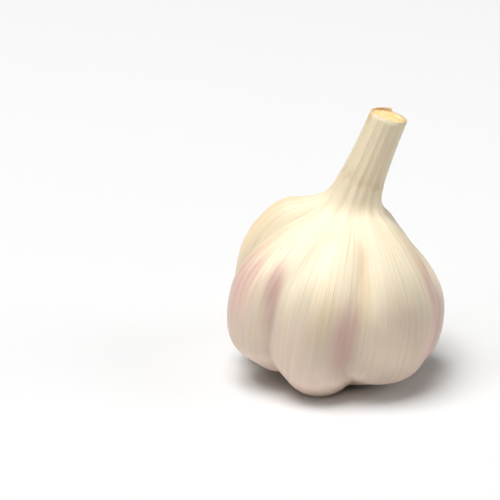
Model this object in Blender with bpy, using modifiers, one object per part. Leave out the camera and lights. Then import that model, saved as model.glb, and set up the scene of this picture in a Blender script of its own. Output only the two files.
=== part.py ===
"""A garlic bulb standing on its cloves, in metres, +Z up, with its origin on the surface under it.

Three bodies: the skinned bulb with the neck that grows from it, the cut flower stalk inside the
neck, and the dry root tuft in the hollow underneath. Sizes are in millimetres and degrees.
"""

import math
import random

import bmesh
import bpy
import numpy as np
from mathutils import Matrix, Quaternion, Vector

MM = 0.001

# Outline of the clove crests about the bulb's own axis, from the root hollow up to the cut neck:
# radius, height, and how deep the valley between two cloves lies under the crest there.
OUTLINE = [
    (0.0, 7.0, 0.0),
    (5.0, 6.8, 0.2),
    (9.5, 5.6, 0.9),
    (13.7, 2.8, 2.2),
    (18.0, 1.0, 2.5),
    (22.9, 3.6, 3.2),
    (28.5, 9.0, 3.6),
    (29.9, 17.4, 3.0),
    (29.0, 27.7, 2.6),
    (25.0, 35.7, 2.2),
    (18.3, 42.6, 1.7),
    (12.4, 45.9, 1.1),
    (7.7, 50.2, 0.6),
    (6.05, 57.3, 0.3),
    (5.2, 66.6, 0.15),
    (4.87, 76.0, 0.1),
]
RIM_HEIGHT = OUTLINE[-1][1]
RIM_RADIUS = OUTLINE[-1][0]
HOLLOW_HEIGHT = OUTLINE[0][1]
OUTLINE_POINTS_PER_SPAN = 3
TURN_STEPS = 72
VALLEY_SOFTNESS = 0.3

# Where along the outline, counted in its points, a clove's own foot, belly, shoulder and throat act:
# centre and reach.
FOOT_ZONE = (4.3, 3.0)
BELLY_ZONE = (7.3, 2.7)
SHOULDER_ZONE = (10.0, 2.9)
THROAT_ZONE = (11.2, 1.7)

# Cloves round the bulb: azimuth and half width in degrees at the belly, then how far the foot, belly,
# shoulder and throat stand proud of the outline, and how far the crest turns aside at its foot and top.
CLOVES = {
    "left": (-152.0, 24.5, -1.6, 0.9, -0.4, 0.0, 0.0, 8.0),
    "front": (-107.0, 24.0, 0.6, 0.0, 0.2, 0.0, 6.0, 12.0),
    "front_right": (-49.0, 34.0, -3.05, 1.2, 0.7, 1.6, 0.0, 10.0),
    "right": (-0.5, 24.0, -2.6, 0.7, -1.6, 2.6, 0.0, 22.0),
    "back_right": (47.0, 20.5, -2.0, -0.2, 0.7, 0.0, 0.0, 8.0),
    "back": (84.0, 18.0, -0.2, 0.1, 0.0, 0.0, 0.0, 0.0),
    "back_left": (129.0, 27.0, 0.1, 0.0, 0.2, 0.0, 0.0, 0.0),
    "far_left": (170.0, 14.0, 0.3, -2.0, 3.0, 0.0, 0.0, 0.0),
}
FOOT_TURN_STATIONS = (4.5, 7.0)
TOP_TURN_STATIONS = (8.0, 11.0)

# Pleats of the skin, gathered into the neck: two waves round the bulb, each with its count, its
# share of the height and its phase in radians, then how high the pleats are and where they run.
PLEAT_WAVES = ((17, 0.7, 0.0), (11, 0.3, 1.0))
PLEAT_HEIGHT = 0.12
PLEAT_ZONE = (12.6, 3.6)

# The axis leans to the right, and bends further over in the neck. Its bend is added up in steps
# between two heights beyond the bulb's ends.
BODY_LEAN = 8.5
NECK_LEAN = 21.0
BEND_START = 37.0
BEND_END = 61.0
AXIS_HEIGHTS = (-20.0, 100.0)
AXIS_SAMPLES = 2401

# Neck mouth: socket for the stalk, the slanted cut, and the torn tongue of skin behind it.
SOCKET_RADIUS = 4.25
SOCKET_FLOOR = 52.0
RIM_ROUNDING = 0.2
CUT_SLANT = 4.0
CUT_HIGH_SIDE = 20.0
CUT_SLANT_START = 68.0

# The tongue has its tip at an azimuth. It ends there at a tear, and tapers off over these degrees
# on the other side.
TONGUE_HEIGHT = 0.75
TONGUE_REACH_DOWN = 3.0
TONGUE_TIP = 82.0
TONGUE_TEAR = 10.0
TONGUE_TAPER = (0.0, 62.0)

# Stalk: gap to the socket, and its cut end, which has sunk a little towards the pith in drying.
STALK_GAP = 0.25
STALK_RECESS = 0.4
STALK_EDGE_ROUNDING = 0.4
STALK_PITH = (1.2, 0.5)
STALK_FLESH = (2.4, 0.15)

# Root plate and roots: the root steps' lengths and the curl at each step, in degrees, are drawn
# between two limits, and the roots keep inside the hollow and off the surface below.
PLATE_RADIUS = 9.3
PLATE_GAP = 0.4
PLATE_THICKNESS = 2.0
PLATE_BULGE = 0.2
PLATE_EDGE_ROUNDING = 0.3
ROOT_COUNT = 90
ROOT_RADIUS = 0.45
ROOT_TIP_SHARE = 0.55
ROOT_STEPS = 4
ROOT_STEP_LENGTHS = (1.0, 1.6)
ROOT_CURL = (25.0, 70.0)
ROOT_SUNK = 0.9
ROOT_MARGIN = 0.8
ROOT_SPLAY = (0.2, 1.1)
ROOT_OUTER_REACH = 12.3
ROOT_SURFACE_CLEARANCE = 1.1
ROOT_FLOOR_CLEARANCE = 0.9
ROOT_SEED = 7
GOLDEN_ANGLE = math.pi * (3 - math.sqrt(5))

# The lowest cloves are pressed this far flat on the surface.
FLAT_DEPTH = 0.4

# Colour and roughness of each finish, and the angle from which an edge stays sharp.
SKIN_FINISH = ((0.86, 0.78, 0.66), 0.45)
STALK_FINISH = ((0.86, 0.66, 0.36), 0.7)
ROOT_FINISH = ((0.36, 0.19, 0.08), 0.8)
SHARP_ANGLE = 50.0


# Scene


def clear_scene():
    """Remove every object of the scene."""
    for obj in list(bpy.data.objects):
        bpy.data.objects.remove(obj)


def new_collection(name):
    """A collection linked to the scene."""
    collection = bpy.data.collections.new(name)
    bpy.context.scene.collection.children.link(collection)
    return collection


def finish_material(name, colour, roughness):
    """A plain Principled material in the part's own colour."""
    material = bpy.data.materials.new(name)
    material.use_nodes = True
    shader = material.node_tree.nodes["Principled BSDF"]
    shader.inputs["Base Color"].default_value = (*colour, 1.0)
    shader.inputs["Roughness"].default_value = roughness
    shader.inputs["Metallic"].default_value = 0.0
    return material


# Curves and weights along the outline


def smooth_curve(points, per_span):
    """Points of a Catmull-Rom curve through the given rows, with the row number of each."""
    rows = np.asarray(points, float)
    ends = np.vstack([2 * rows[0] - rows[1], rows, 2 * rows[-1] - rows[-2]])
    curve = []
    stations = []
    for span in range(len(rows) - 1):
        a, b, c, d = ends[span : span + 4]
        for step in range(per_span):
            t = step / per_span
            bend = (2 * a - 5 * b + 4 * c - d) * t**2
            twist = (3 * b - a - 3 * c + d) * t**3
            curve.append(0.5 * (2 * b + (c - a) * t + bend + twist))
            stations.append(span + t)
    curve.append(rows[-1])
    stations.append(len(rows) - 1.0)
    return np.array(curve), np.array(stations)


def window(value, zone):
    """1 at the zone's centre, falling smoothly to 0 at its reach."""
    centre, reach = zone
    away = np.clip(np.abs(np.asarray(value, float) - centre) / reach, 0, 1)
    return np.cos(away * math.pi / 2) ** 2


def smooth_step(value, start, end):
    """0 before start, 1 after end, smooth between."""
    t = np.clip((np.asarray(value, float) - start) / (end - start), 0, 1)
    return t * t * (3 - 2 * t)


def turn_between(azimuth, centre):
    """Signed angle in degrees from centre to azimuth, between -180 and 180."""
    return (azimuth - centre + 180.0) % 360.0 - 180.0


# The leaning axis


def lean_at(height):
    """Angle of the axis from the upright, in radians, at a height along it."""
    return np.radians(BODY_LEAN + (NECK_LEAN - BODY_LEAN) * smooth_step(height, BEND_START, BEND_END))


def bend_points(points):
    """Points of the straight bulb moved onto the axis that bends over in the neck."""
    heights = np.linspace(*AXIS_HEIGHTS, AXIS_SAMPLES)
    extra = lean_at(heights) - math.radians(BODY_LEAN)
    steps = np.diff(heights)
    sideways = np.concatenate([[0.0], np.cumsum(np.sin(extra[:-1]) * steps)])
    upwards = heights[0] + np.concatenate([[0.0], np.cumsum(np.cos(extra[:-1]) * steps)])
    x, y, z = points.T
    turn = lean_at(z) - math.radians(BODY_LEAN)
    return np.column_stack(
        [
            np.interp(z, heights, sideways) + x * np.cos(turn),
            y,
            np.interp(z, heights, upwards) - x * np.sin(turn),
        ]
    )


def slant_cut(points):
    """Tilt the neck's top, so that the cut isn't square to the neck."""
    x, y, z = points.T
    high_side = math.radians(CUT_HIGH_SIDE)
    rise = (x * math.cos(high_side) + y * math.sin(high_side)) * math.tan(math.radians(CUT_SLANT))
    return np.column_stack([x, y, z + rise * smooth_step(z, CUT_SLANT_START, RIM_HEIGHT)])


# Meshes


def coordinates(mesh):
    """The mesh's vertices as an array, in millimetres."""
    flat = np.empty(len(mesh.vertices) * 3)
    mesh.vertices.foreach_get("co", flat)
    return flat.reshape(-1, 3) / MM


def set_coordinates(mesh, points):
    """Move the mesh's vertices to the points, given in millimetres."""
    mesh.vertices.foreach_set("co", (points * MM).astype(np.float32).ravel())
    mesh.update()


def evaluated_mesh(obj):
    """A new mesh of the object with its modifiers applied."""
    graph = bpy.context.evaluated_depsgraph_get()
    return bpy.data.meshes.new_from_object(obj.evaluated_get(graph))


def turned(name, profile, stations, collection):
    """A body turned about Z from (radius, height) points that run down its outer side."""
    mesh = bpy.data.meshes.new(name)
    edges = [(i, i + 1) for i in range(len(profile) - 1)]
    mesh.from_pydata([(r * MM, 0.0, z * MM) for r, z in profile], edges, [])
    mesh.attributes.new("station", "FLOAT", "POINT").data.foreach_set("value", stations)
    obj = bpy.data.objects.new(name, mesh)
    collection.objects.link(obj)
    screw = obj.modifiers.new("turn", "SCREW")
    screw.axis = "Z"
    screw.steps = screw.render_steps = TURN_STEPS
    screw.use_merge_vertices = True
    screw.merge_threshold = 0.00001
    bpy.context.view_layer.update()
    obj.data = evaluated_mesh(obj)
    obj.modifiers.clear()
    return obj


def shade(obj, material):
    """Give the object its material and smooth its faces, with sharp edges kept."""
    obj.data.materials.clear()
    obj.data.materials.append(material)
    obj.data.shade_smooth()
    obj.data.set_sharp_from_angle(angle=math.radians(SHARP_ANGLE))


# The bulb


def clove_relief(azimuth, station, depth):
    """How far the skin stands off the outline over the cloves and in the valleys between."""
    at_foot = 1 - smooth_step(station, *FOOT_TURN_STATIONS)
    at_top = smooth_step(station, *TOP_TURN_STATIONS)
    heights = []
    for centre, half_width, foot, belly, shoulder, throat, foot_turn, top_turn in CLOVES.values():
        crest = centre + foot_turn * at_foot + top_turn * at_top
        proud = (
            foot * window(station, FOOT_ZONE)
            + belly * window(station, BELLY_ZONE)
            + shoulder * window(station, SHOULDER_ZONE)
            + throat * window(station, THROAT_ZONE)
        )
        heights.append(proud - depth * (turn_between(azimuth, crest) / half_width) ** 2)
    heights = np.array(heights)
    highest = heights.max(axis=0)
    return highest + VALLEY_SOFTNESS * np.log(np.exp((heights - highest) / VALLEY_SOFTNESS).sum(axis=0))


def pleat_relief(azimuth, station):
    """Folds of the skin where it is gathered into the neck, even in number but not in height."""
    angle = np.radians(azimuth)
    fold = sum(share * np.cos(count * angle + phase) for count, share, phase in PLEAT_WAVES)
    return PLEAT_HEIGHT * fold * window(station, PLEAT_ZONE)


def outline_with_normals():
    """The outline as a smooth curve: radius, height, valley depth, outward normal and stations."""
    rows, stations = smooth_curve(OUTLINE, OUTLINE_POINTS_PER_SPAN)
    slope = np.gradient(rows[:, :2], axis=0)
    slope /= np.linalg.norm(slope, axis=1)[:, None]
    normals = np.column_stack([slope[:, 1], -slope[:, 0]])
    return rows, normals, stations


def socket_profile():
    """Inside of the neck, from the middle of the socket's floor up to the rim."""
    top = RIM_HEIGHT
    wall = np.linspace(SOCKET_FLOOR, top - RIM_ROUNDING, 4)
    return (
        [(0.0, SOCKET_FLOOR)]
        + [(SOCKET_RADIUS, height) for height in wall]
        + [(SOCKET_RADIUS + RIM_ROUNDING, top), (RIM_RADIUS - RIM_ROUNDING, top)]
    )


def rim_tongue(azimuth, height):
    """How far the torn skin behind the cut stands above the rest of the rim."""
    past_tip = turn_between(azimuth, TONGUE_TIP)
    share = smooth_step(past_tip, -TONGUE_TEAR, 0.0) * (1 - smooth_step(past_tip, *TONGUE_TAPER))
    return TONGUE_HEIGHT * share * smooth_step(height, RIM_HEIGHT - TONGUE_REACH_DOWN, RIM_HEIGHT)


def straight_bulb(collection):
    """The bulb about an upright axis: turned outline, then cloves, valleys and pleats raised from it."""
    rows, normals, stations = outline_with_normals()
    outer = [(r, z) for r, z in rows[:, :2]]
    outer[-1] = (outer[-1][0], outer[-1][1] - RIM_ROUNDING)
    inner = socket_profile()
    profile = inner + outer[::-1]
    marks = np.concatenate([np.full(len(inner), -1.0), stations[::-1]])
    bulb = turned("bulb", profile, marks, collection)

    points = coordinates(bulb.data)
    station = np.empty(len(points))
    bulb.data.attributes["station"].data.foreach_get("value", station)
    azimuth = np.degrees(np.arctan2(points[:, 1], points[:, 0]))
    outside = station >= 0
    depth = np.interp(station, stations, rows[:, 2])
    relief = clove_relief(azimuth, station, depth) + pleat_relief(azimuth, station)
    relief *= smooth_step(station, 0.0, 1.0) * outside
    radial = np.interp(station, stations, normals[:, 0]) * relief
    angle = np.radians(azimuth)
    points[:, 0] += radial * np.cos(angle)
    points[:, 1] += radial * np.sin(angle)
    points[:, 2] += np.interp(station, stations, normals[:, 1]) * relief
    points[:, 2] += rim_tongue(azimuth, points[:, 2])
    set_coordinates(bulb.data, bend_points(slant_cut(points)))
    return bulb


def stand_on_surface(bulb, stand):
    """Lean the stand, set the lowest cloves on the surface and press them flat there."""
    stand.rotation_euler = (0.0, math.radians(BODY_LEAN), 0.0)
    turn = Matrix.Rotation(math.radians(BODY_LEAN), 4, "Y")
    leaning = coordinates(bulb.data) @ np.array(turn.to_3x3()).T
    low, high = leaning.min(axis=0), leaning.max(axis=0)
    middle = (low + high) / 2
    shift = np.array([-middle[0], -middle[1], -FLAT_DEPTH - low[2]])
    stand.location = Vector(shift * MM)
    standing = leaning + shift
    standing[:, 2] = np.maximum(standing[:, 2], 0.0)
    set_coordinates(bulb.data, (standing - shift) @ np.array(turn.to_3x3()))
    return shift


# The stalk


def make_stalk(collection):
    """The cut flower stalk, filling the neck from its foot to just under the rim."""
    radius = SOCKET_RADIUS - STALK_GAP
    top = RIM_HEIGHT - STALK_RECESS
    foot = SOCKET_FLOOR + STALK_GAP
    pith, flesh = STALK_PITH, STALK_FLESH
    face = [(0.0, top - pith[1]), (pith[0], top - pith[1]), (flesh[0], top - flesh[1])]
    edge = [(radius - STALK_EDGE_ROUNDING, top)]
    side = [(radius, height) for height in np.linspace(top - STALK_EDGE_ROUNDING, foot, 4)]
    profile = face + edge + side + [(0.0, foot)]
    stalk = turned("stalk", profile, [0.0] * len(profile), collection)
    set_coordinates(stalk.data, bend_points(slant_cut(coordinates(stalk.data))))
    return stalk


# The root tuft


def hollow_height(radius):
    """Height of the root hollow's surface over the clove crests at a radius."""
    inner = np.array(OUTLINE[:5])
    return float(np.interp(radius, inner[:, 0], inner[:, 1]))


def plate_underside(radius):
    """Height of the plate's underside, a shallow dome."""
    share = min(radius / PLATE_RADIUS, 1.0)
    return HOLLOW_HEIGHT - PLATE_GAP - PLATE_THICKNESS - PLATE_BULGE * (1 - share**2)


def root_plate(collection):
    """The plate that the roots grow from, seated under the hollow with its edge rounded."""
    inner = np.linspace(0.0, PLATE_RADIUS - PLATE_EDGE_ROUNDING, 6)
    upper = [(r, hollow_height(r) - PLATE_GAP) for r in inner]
    lower = [(r, plate_underside(r)) for r in inner[::-1]]
    edge = [(PLATE_RADIUS, (upper[-1][1] + lower[0][1]) / 2)]
    profile = upper + edge + lower
    return turned("root_tuft", profile, [0.0] * len(profile), collection)


def kept_clear(point, shift):
    """The root's point moved clear of the cloves around the hollow and of the surface below."""
    lean = math.radians(BODY_LEAN)
    while True:
        radius = math.hypot(point.x, point.y)
        if radius > ROOT_OUTER_REACH:
            point.x *= ROOT_OUTER_REACH / radius
            point.y *= ROOT_OUTER_REACH / radius
            radius = ROOT_OUTER_REACH
        floor = (ROOT_FLOOR_CLEARANCE - shift[2] + point.x * math.sin(lean)) / math.cos(lean)
        ceiling = hollow_height(radius) - ROOT_SURFACE_CLEARANCE
        if floor <= ceiling:
            point.z = min(max(point.z, floor), ceiling)
            return point
        point.x *= 0.95
        point.y *= 0.95


def root_path(index, draw, shift):
    """Points of one root, sunk in the plate and curling down and outwards from it."""
    radius = (PLATE_RADIUS - ROOT_MARGIN) * math.sqrt((index + 0.5) / ROOT_COUNT)
    azimuth = index * GOLDEN_ANGLE
    outwards = Vector((math.cos(azimuth), math.sin(azimuth), 0.0))
    splay = ROOT_SPLAY[0] + ROOT_SPLAY[1] * (radius / PLATE_RADIUS) ** 2
    heading = (outwards * splay - Vector((0.0, 0.0, 1.0))).normalized()
    curl_axis = Vector((draw.uniform(-1, 1), draw.uniform(-1, 1), draw.uniform(-1, 1))).normalized()
    length = draw.uniform(*ROOT_STEP_LENGTHS)
    point = outwards * radius
    point.z = plate_underside(radius)
    path = [point - heading * ROOT_SUNK]
    for _ in range(ROOT_STEPS):
        point = kept_clear(point + heading * length, shift)
        path.append(point.copy())
        heading.rotate(Quaternion(curl_axis, math.radians(draw.uniform(*ROOT_CURL))))
    return path


def root_body(index, path, collection):
    """One root as a closed tube that thins towards its tip."""
    curve = bpy.data.curves.new(f"root_{index:03d}", "CURVE")
    curve.dimensions = "3D"
    curve.bevel_depth = ROOT_RADIUS * MM
    curve.bevel_resolution = 0
    curve.use_fill_caps = True
    spline = curve.splines.new("POLY")
    spline.points.add(len(path) - 1)
    for place, (spot, point) in enumerate(zip(spline.points, path)):
        spot.co = (*(point * MM), 1.0)
        spot.radius = 1.0 - (1.0 - ROOT_TIP_SHARE) * place / (len(path) - 1)
    guide = bpy.data.objects.new(curve.name, curve)
    collection.objects.link(guide)
    bpy.context.view_layer.update()
    mesh = evaluated_mesh(guide)
    bpy.data.objects.remove(guide)
    body = bpy.data.objects.new(curve.name, mesh)
    collection.objects.link(body)
    shell = bmesh.new()
    shell.from_mesh(mesh)
    bmesh.ops.remove_doubles(shell, verts=shell.verts, dist=0.000001)
    bmesh.ops.recalc_face_normals(shell, faces=shell.faces)
    shell.to_mesh(mesh)
    shell.free()
    return body


def keep_largest_shell(mesh):
    """Drop loose scraps and the walls of sealed hollows, which aren't joined to the main shell."""
    shell = bmesh.new()
    shell.from_mesh(mesh)
    left = set(shell.verts)
    groups = []
    while left:
        reached = [left.pop()]
        for vertex in reached:
            for edge in vertex.link_edges:
                other = edge.other_vert(vertex)
                if other in left:
                    left.remove(other)
                    reached.append(other)
        groups.append(reached)
    groups.sort(key=len)
    for group in groups[:-1]:
        bmesh.ops.delete(shell, geom=group, context="VERTS")
    shell.to_mesh(mesh)
    shell.free()


def make_root_tuft(collection, shift):
    """The plate and its roots, fused into one body."""
    roots = new_collection("roots")
    plate = root_plate(collection)
    draw = random.Random(ROOT_SEED)
    for index in range(ROOT_COUNT):
        root_body(index, root_path(index, draw, shift), roots)
    union = plate.modifiers.new("roots", "BOOLEAN")
    union.operation = "UNION"
    union.operand_type = "COLLECTION"
    union.collection = roots
    union.solver = "MANIFOLD"
    bpy.context.view_layer.update()
    plate.data = evaluated_mesh(plate)
    plate.modifiers.clear()
    for body in list(roots.objects):
        bpy.data.objects.remove(body)
    bpy.data.collections.remove(roots)
    keep_largest_shell(plate.data)
    return plate


def main():
    """Build the three bodies under one empty that carries the bulb's lean."""
    clear_scene()
    parts = new_collection("garlic_bulb")
    stand = bpy.data.objects.new("leaning_axis", None)
    parts.objects.link(stand)

    bulb = straight_bulb(parts)
    shift = stand_on_surface(bulb, stand)
    stalk = make_stalk(parts)
    tuft = make_root_tuft(parts, shift)

    shade(bulb, finish_material("skin", *SKIN_FINISH))
    shade(stalk, finish_material("stalk_flesh", *STALK_FINISH))
    shade(tuft, finish_material("dry_root", *ROOT_FINISH))
    for obj in (bulb, stalk, tuft):
        obj.parent = stand


main()
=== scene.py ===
"""Looks of a whole garlic bulb: papery skin over its cloves, a cut neck and a dry root tuft.

The form repeats the part's own outline, cloves, lean and bend, in millimetres and degrees, so that
the finer skin lies where the part's solid does. Meshes are in metres, in the part's frame.
"""

import logging
import math
from dataclasses import dataclass, field
from enum import Enum
from typing import Optional, Union

import bpy
import numpy as np
from mathutils import Matrix, Vector, noise


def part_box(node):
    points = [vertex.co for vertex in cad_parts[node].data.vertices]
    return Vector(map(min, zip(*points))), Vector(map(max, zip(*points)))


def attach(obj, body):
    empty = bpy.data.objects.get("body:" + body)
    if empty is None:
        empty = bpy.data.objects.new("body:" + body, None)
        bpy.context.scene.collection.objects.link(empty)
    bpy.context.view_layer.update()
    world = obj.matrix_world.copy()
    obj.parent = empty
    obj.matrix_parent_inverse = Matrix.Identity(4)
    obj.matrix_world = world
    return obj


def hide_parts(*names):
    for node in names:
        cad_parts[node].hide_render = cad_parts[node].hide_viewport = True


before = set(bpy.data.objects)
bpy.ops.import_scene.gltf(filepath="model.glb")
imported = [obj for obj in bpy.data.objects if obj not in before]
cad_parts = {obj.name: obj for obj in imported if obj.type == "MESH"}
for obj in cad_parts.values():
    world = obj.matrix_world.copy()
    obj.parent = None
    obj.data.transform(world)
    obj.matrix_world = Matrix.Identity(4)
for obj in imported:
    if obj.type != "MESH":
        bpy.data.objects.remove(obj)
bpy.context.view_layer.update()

MM = 0.001
MM_IN_CM = 10
BODY = "root"
GOLDEN_ANGLE = math.pi * (3 - math.sqrt(5))
NOISE_MIDDLE = 0.5
DOWN = (0.0, 0.0, -1.0)
ORIGIN = (0.0, 0.0, 0.0)

Array = np.ndarray
Span = tuple[float, float]
Triple = tuple[float, float, float]
Mesh = bpy.types.Mesh
Material = bpy.types.Material
Socket = bpy.types.NodeSocket
Size = Union[float, int, Triple]
Value = Union[float, int, tuple, str, Material, Socket]
Inputs = dict[Union[str, int], Value]

log = logging.getLogger("garlic_bulb")


class Slot(str, Enum):
    """Names of material slots that the pieces are labelled with."""

    SKIN = "skin"
    STALK = "stalk_flesh"
    ROOT = "dry_root"


# Curves and weights


def smooth_step(value: Array, start: float, end: float) -> Array:
    """0 before start, 1 after end, smooth between."""
    t = np.clip((np.asarray(value, float) - start) / (end - start), 0.0, 1.0)
    return t * t * (3 - 2 * t)


def window(value: Array, zone: Span) -> Array:
    """1 at the zone's centre, falling smoothly to 0 at its reach."""
    away = np.clip(np.abs(np.asarray(value, float) - zone[0]) / zone[1], 0.0, 1.0)
    return np.cos(away * math.pi / 2) ** 2


def turn_between(azimuth: Array, centre: float) -> Array:
    """Signed angle in degrees from centre to azimuth, between -180 and 180."""
    return (azimuth - centre + 180.0) % 360.0 - 180.0


def turns_round(count: int) -> Array:
    """Azimuths of evenly spaced points round the axis, in degrees."""
    return np.arange(count) * 360.0 / count


def round_noise(azimuth: Array, cells: float, seed: float) -> Array:
    """Noise round the axis that meets itself after a full turn.

    Args:
        azimuth: Angles round the axis, in degrees.
        cells: How fine it is: the radius of the circle that it is read on, in noise cells.
        seed: Shifts the pattern, so that each use has its own.

    Returns:
        A value from about -1 to 1 for each angle.
    """
    angles = np.radians(np.asarray(azimuth, float)).ravel()
    spots = [
        noise.noise(Vector((cells * math.cos(a) + seed, cells * math.sin(a) - seed, 0.0)))
        for a in angles
    ]
    return np.array(spots).reshape(np.shape(azimuth))


def rough_noise(azimuth: Array, *layers: Triple, radius: float = 1.0) -> Array:
    """Layers of noise round the axis, added up.

    Args:
        azimuth: Angles round the axis, in degrees.
        *layers: Each layer's height, with its cells and seed for round_noise.
        radius: Makes the noise finer by this factor, for a ring farther out.

    Returns:
        The sum for each angle.
    """
    return sum(
        height * round_noise(azimuth, radius * cells, seed) for height, cells, seed in layers
    )


# The bulb's form


@dataclass(frozen=True)
class Clove:
    """One clove as it shows under the skin.

    Azimuth and half width are in degrees. Foot, belly, shoulder and throat say how far it stands
    proud of the outline there, in millimetres, and the turns how far its crest bends aside, in
    degrees.
    """

    azimuth: float
    half_width: float
    foot: float
    belly: float
    shoulder: float
    foot_turn: float = 0.0
    top_turn: float = 0.0
    throat: float = 0.0


@dataclass(frozen=True)
class BulbForm:
    """The bulb's surface as a function of the azimuth round its axis and the station along it.

    A station counts the points of the outline, from 0 in the middle of the root hollow to 15 at
    the cut rim of the neck. Each outline point gives radius, height and depth of the valleys, and
    each wave of the pleats its count, share and phase.
    """

    outline: tuple[Triple, ...] = (
        (0.0, 7.0, 0.0),
        (5.0, 6.8, 0.2),
        (9.5, 5.6, 0.9),
        (13.7, 2.8, 2.2),
        (18.0, 1.0, 2.5),
        (22.9, 3.6, 3.2),
        (28.5, 9.0, 3.6),
        (29.9, 17.4, 3.0),
        (29.0, 27.7, 2.6),
        (25.0, 35.7, 2.2),
        (18.3, 42.6, 1.7),
        (12.4, 45.9, 1.1),
        (7.7, 50.2, 0.6),
        (6.05, 57.3, 0.3),
        (5.2, 66.6, 0.15),
        (4.87, 76.0, 0.1),
    )
    cloves: tuple[Clove, ...] = (
        Clove(-152.0, 24.5, -1.6, 0.9, -0.4, 0.0, 8.0),
        Clove(-107.0, 24.0, 0.6, 0.0, 0.2, 6.0, 12.0),
        Clove(-49.0, 34.0, -3.05, 1.2, 0.7, 0.0, 10.0, 1.6),
        Clove(-0.5, 24.0, -2.6, 0.7, -1.6, 0.0, 22.0, 2.6),
        Clove(47.0, 20.5, -2.0, -0.2, 0.7, 0.0, 8.0),
        Clove(84.0, 18.0, -0.2, 0.1, 0.0),
        Clove(129.0, 27.0, 0.1, 0.0, 0.2),
        Clove(170.0, 14.0, 0.3, -2.0, 3.0),
    )
    foot_zone: Span = (4.3, 3.0)
    belly_zone: Span = (7.3, 2.7)
    shoulder_zone: Span = (10.0, 2.9)
    throat_zone: Span = (11.2, 1.7)
    foot_turn_stations: Span = (4.5, 7.0)
    top_turn_stations: Span = (8.0, 11.0)
    hollow_points: int = 5
    valley_softness: float = 0.3
    pleat_waves: tuple[Triple, ...] = ((17, 0.7, 0.0), (11, 0.3, 1.0))
    pleat_height: float = 0.12
    pleat_zone: Span = (12.6, 3.6)
    body_lean: float = 8.5
    neck_lean: float = 21.0
    bend: Span = (37.0, 61.0)
    axis_heights: Span = (-20.0, 100.0)
    axis_samples: int = 2401
    pressed_flat: float = 0.4
    cut_slant: float = 4.0
    cut_high_side: float = 20.0
    cut_slant_start: float = 68.0
    tongue_height: float = 0.75
    tongue_reach_down: float = 3.0
    tongue_tip: float = 82.0
    tongue_tear: float = 3.0
    tongue_taper: float = 62.0
    solid_turn_steps: int = 72
    solid_steps_per_span: int = 3
    curve_steps_per_span: int = 24

    @property
    def rim_height(self) -> float:
        """Height of the cut rim along the axis."""
        return self.outline[-1][1]

    @property
    def last_station(self) -> float:
        """Station of the cut rim."""
        return float(len(self.outline) - 1)

    def curve(self) -> tuple[Array, Array]:
        """The outline as a smooth curve through its points.

        Returns:
            Rows of radius, height, valley depth and outward normal (radial, upward), and the
            station of each row.
        """
        points = np.array(self.outline)
        ends = np.vstack([2 * points[0] - points[1], points, 2 * points[-1] - points[-2]])
        stations = np.linspace(0, len(points) - 1, (len(points) - 1) * self.curve_steps_per_span + 1)
        rows = []
        for station in stations:
            span = min(int(station), len(points) - 2)
            t = station - span
            a, b, c, d = ends[span : span + 4]
            bend = (2 * a - 5 * b + 4 * c - d) * t**2
            twist = (3 * b - a - 3 * c + d) * t**3
            rows.append(0.5 * (2 * b + (c - a) * t + bend + twist))
        rows = np.array(rows)
        slope = np.gradient(rows[:, :2], axis=0)
        slope /= np.linalg.norm(slope, axis=1)[:, None]
        return np.column_stack([rows, slope[:, 1], -slope[:, 0]]), stations

    def across(self, azimuth: Array, station: Array) -> list[Array]:
        """How far points lie from each clove's crest.

        Args:
            azimuth: Angles round the axis, in degrees.
            station: Stations along the outline.

        Returns:
            For each clove, the square of the distance in half widths.
        """
        at_foot = 1 - smooth_step(station, *self.foot_turn_stations)
        at_top = smooth_step(station, *self.top_turn_stations)
        shares = []
        for clove in self.cloves:
            crest = clove.azimuth + clove.foot_turn * at_foot + clove.top_turn * at_top
            shares.append((turn_between(azimuth, crest) / clove.half_width) ** 2)
        return shares

    def valley_share(self, azimuth: Array, station: Array) -> Array:
        """0 on a clove's crest and about 1 in the valley between two cloves."""
        return np.clip(np.min(self.across(azimuth, station), axis=0), 0.0, 1.0)

    def relief(self, azimuth: Array, station: Array, depth: Array) -> Array:
        """How far the skin stands off the turned outline.

        Args:
            azimuth: Angles round the axis, in degrees.
            station: Stations along the outline.
            depth: Depth of the valleys at those stations.

        Returns:
            Millimetres along the outline's outward normal.
        """
        heights = []
        for clove, share in zip(self.cloves, self.across(azimuth, station)):
            proud = (
                clove.foot * window(station, self.foot_zone)
                + clove.belly * window(station, self.belly_zone)
                + clove.shoulder * window(station, self.shoulder_zone)
                + clove.throat * window(station, self.throat_zone)
            )
            heights.append(proud - depth * share)
        highest = np.max(heights, axis=0)
        spread = np.exp((np.array(heights) - highest) / self.valley_softness).sum(axis=0)
        angle = np.radians(azimuth)
        fold = sum(share * np.cos(count * angle + phase) for count, share, phase in self.pleat_waves)
        pleat = self.pleat_height * fold * window(station, self.pleat_zone)
        return (highest + self.valley_softness * np.log(spread) + pleat) * smooth_step(station, 0.0, 1.0)

    def straight(self, azimuth: Array, station: Array) -> Array:
        """Points of the surface about the upright, unbent axis.

        Args:
            azimuth: Angles round the axis, in degrees.
            station: Stations along the outline, of the same shape.

        Returns:
            An array of points, with x, y and z last.
        """
        rows, stations = self.curve()
        radius, height, depth, radial, upward = (np.interp(station, stations, row) for row in rows.T)
        off = self.relief(azimuth, station, depth)
        raised = height + upward * off
        return self.upright(azimuth, radius + radial * off, raised + self.tongue(azimuth, raised))

    def upright(self, azimuth: Array, radius: Array, height: Array) -> Array:
        """Points about the upright axis.

        Args:
            azimuth: Angles round the axis, in degrees.
            radius: Distances from the axis, or one for all.
            height: Heights along the axis, or one for all.

        Returns:
            An array of points, with x, y and z last.
        """
        angle = np.radians(azimuth)
        flat = [radius * np.cos(angle), radius * np.sin(angle)]
        return np.stack([*flat, height * np.ones_like(angle)], axis=-1)

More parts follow.
